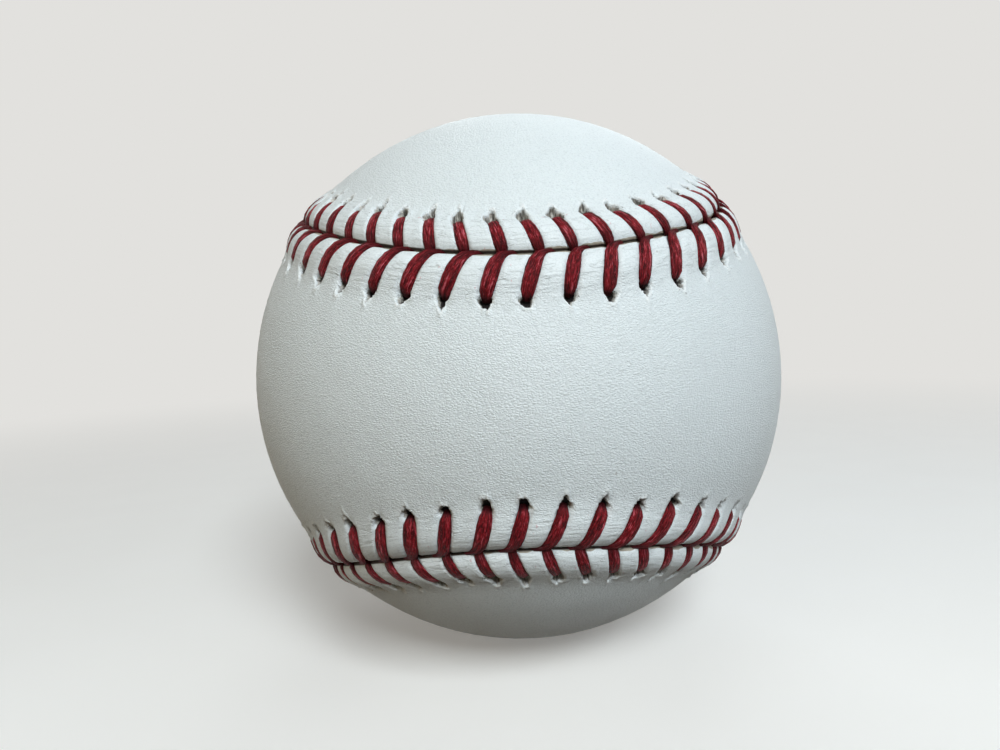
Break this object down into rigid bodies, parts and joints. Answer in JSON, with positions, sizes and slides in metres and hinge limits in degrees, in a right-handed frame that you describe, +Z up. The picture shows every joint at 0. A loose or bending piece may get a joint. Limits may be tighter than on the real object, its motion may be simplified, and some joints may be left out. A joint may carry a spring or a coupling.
{
  "type": "baseball",
  "caption": "Stitched ball: a cork and rubber pill wound with wool and cotton, closed in figure-eight leather panels joined by a raised seam of red thread.",
  "frame": {"origin": "centre of the ball", "axes": "+Z up; -Y through the middle of the neck of cover panel A, whose long direction is X; +Y through the middle of the neck of cover panel B, whose long direction is Z"},
  "size_m": [0.0738, 0.0738, 0.0738],
  "materials": {
    "cork_rubber": "pressed cork and rubber, matt",
    "black_rubber": "moulded, matt",
    "red_rubber": "moulded, matt",
    "grey_wool": "wound yarn",
    "white_wool": "wound yarn",
    "fine_cotton": "wound fine yarn",
    "cement": "dried rubber cement, slightly tacky",
    "white_leather": "alum-tanned cowhide, fine grain, semi-matt",
    "red_thread": "waxed, fibrous"
  },
  "bodies": {
    "root": {"pill_core": "cork_rubber", "pill_black_shell_top": "black_rubber", "pill_black_shell_bottom": "black_rubber", "pill_washer": "red_rubber", "pill_red_cover": "red_rubber", "winding_inner_grey_wool": "grey_wool", "winding_white_wool": "white_wool", "winding_outer_grey_wool": "grey_wool", "winding_fine_cotton": "fine_cotton", "cement_coat": "cement", "cover_panel_a": "white_leather", "cover_panel_b": "white_leather", "thread_strand_one": "red_thread", "thread_strand_two": "red_thread"}
  },
  "joints": []
}
